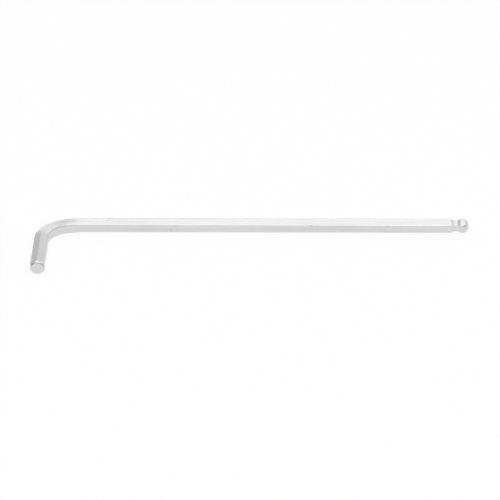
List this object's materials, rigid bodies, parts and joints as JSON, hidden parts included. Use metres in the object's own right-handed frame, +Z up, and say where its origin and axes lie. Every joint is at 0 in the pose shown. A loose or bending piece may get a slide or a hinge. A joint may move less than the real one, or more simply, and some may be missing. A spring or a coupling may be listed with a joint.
{
  "type": "ball-end hex key",
  "caption": "L-shaped hexagonal bar key with a ball end on its long arm and a chamfered flat end on its short arm.",
  "frame": {"origin": "on the floor under the middle of the key's outline, the key lying flat", "axes": "+X along the long arm towards the ball, +Y from the short arm's end towards the long arm, +Z up"},
  "size_m": [0.186, 0.0376, 0.0068],
  "materials": {
    "plated_steel": "satin bright plating"
  },
  "bodies": {
    "root": {"hex_key": "plated_steel"}
  },
  "joints": []
}
